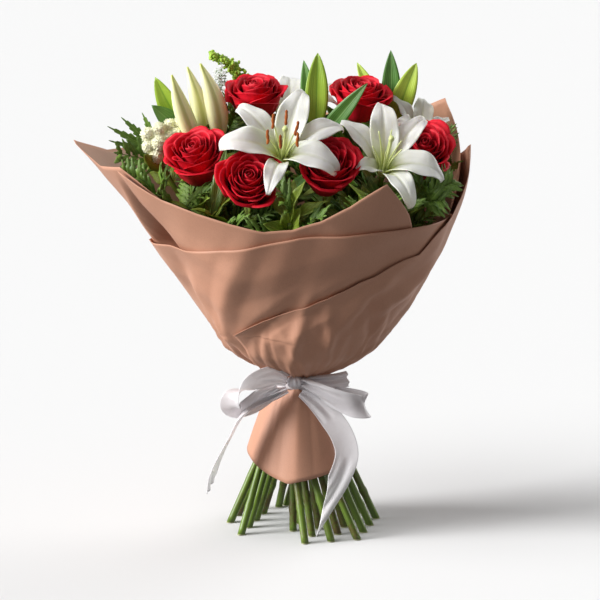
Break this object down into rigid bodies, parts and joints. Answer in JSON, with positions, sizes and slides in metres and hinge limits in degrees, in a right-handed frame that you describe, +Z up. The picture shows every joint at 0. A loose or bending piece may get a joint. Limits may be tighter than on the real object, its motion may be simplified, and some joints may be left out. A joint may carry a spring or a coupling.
{
  "type": "mixed flower bouquet",
  "caption": "Hand-tied bouquet of red roses, white lilies and mixed greens in layered brown paper with a white satin bow, standing on its spiralled cut stems.",
  "frame": {"origin": "centre of the bouquet's footprint on the surface it stands on, at the height of the cut stem ends", "axes": "+Z up along the bundle, -Y towards the front with the bow, +X to the right seen from the front"},
  "size_m": [0.4304, 0.3215, 0.52],
  "materials": {
    "wrapping_paper": "matte brown kraft paper with soft creases",
    "satin_ribbon": "white satin with a soft sheen",
    "twine": "natural twine",
    "rose_stem_and_leaves": "green rose stems and leaves with brownish patches",
    "lily_stem_and_leaves": "light green lily stems and leaves with fine parallel veins",
    "foliage": "dark green foliage",
    "goldenrod": "bright green sprig with tight green buds",
    "sea_lavender": "dark twigs with tiny white flowers",
    "rose_petals": "velvety red petals",
    "lily_petals": "waxy white petals, green towards the throat",
    "lily_buds": "cream buds with yellow-green seams",
    "cream_florets": "soft cream florets"
  },
  "bodies": {
    "root": {"bud_stem": "lily_stem_and_leaves", "cream_head": "cream_florets", "cream_stem": "foliage", "fern_stem_1": "foliage", "fern_stem_2": "foliage", "fern_stem_3": "foliage", "fern_stem_4": "foliage", "goldenrod_stem": "goldenrod", "green_stem_1": "foliage", "green_stem_2": "foliage", "green_stem_3": "foliage", "green_stem_4": "foliage", "green_stem_5": "foliage", "lily_1": "lily_petals", "lily_2": "lily_petals", "lily_3": "lily_petals", "lily_4": "lily_petals", "lily_bud_1": "lily_buds", "lily_bud_2": "lily_buds", "lily_bud_3": "lily_buds", "lily_leaf_stem_1": "lily_stem_and_leaves", "lily_leaf_stem_2": "lily_stem_and_leaves", "lily_leaf_stem_3": "lily_stem_and_leaves", "lily_stem_1": "lily_stem_and_leaves", "lily_stem_2": "lily_stem_and_leaves", "lily_stem_3": "lily_stem_and_leaves", "lily_stem_4": "lily_stem_and_leaves", "paper_back": "wrapping_paper", "paper_front_inner": "wrapping_paper", "paper_front_outer": "wrapping_paper", "paper_right": "wrapping_paper", "ribbon_band": "satin_ribbon", "ribbon_end_right": "satin_ribbon", "ribbon_loop_left": "satin_ribbon", "ribbon_loop_right": "satin_ribbon", "ribbon_tail_left": "satin_ribbon", "ribbon_tail_right": "satin_ribbon", "rose_1": "rose_petals", "rose_2": "rose_petals", "rose_3": "rose_petals", "rose_4": "rose_petals", "rose_5": "rose_petals", "rose_6": "rose_petals", "rose_stem_1": "rose_stem_and_leaves", "rose_stem_2": "rose_stem_and_leaves", "rose_stem_3": "rose_stem_and_leaves", "rose_stem_4": "rose_stem_and_leaves", "rose_stem_5": "rose_stem_and_leaves", "rose_stem_6": "rose_stem_and_leaves", "sea_lavender_stem": "sea_lavender", "stem_twine": "twine"}
  },
  "joints": []
}
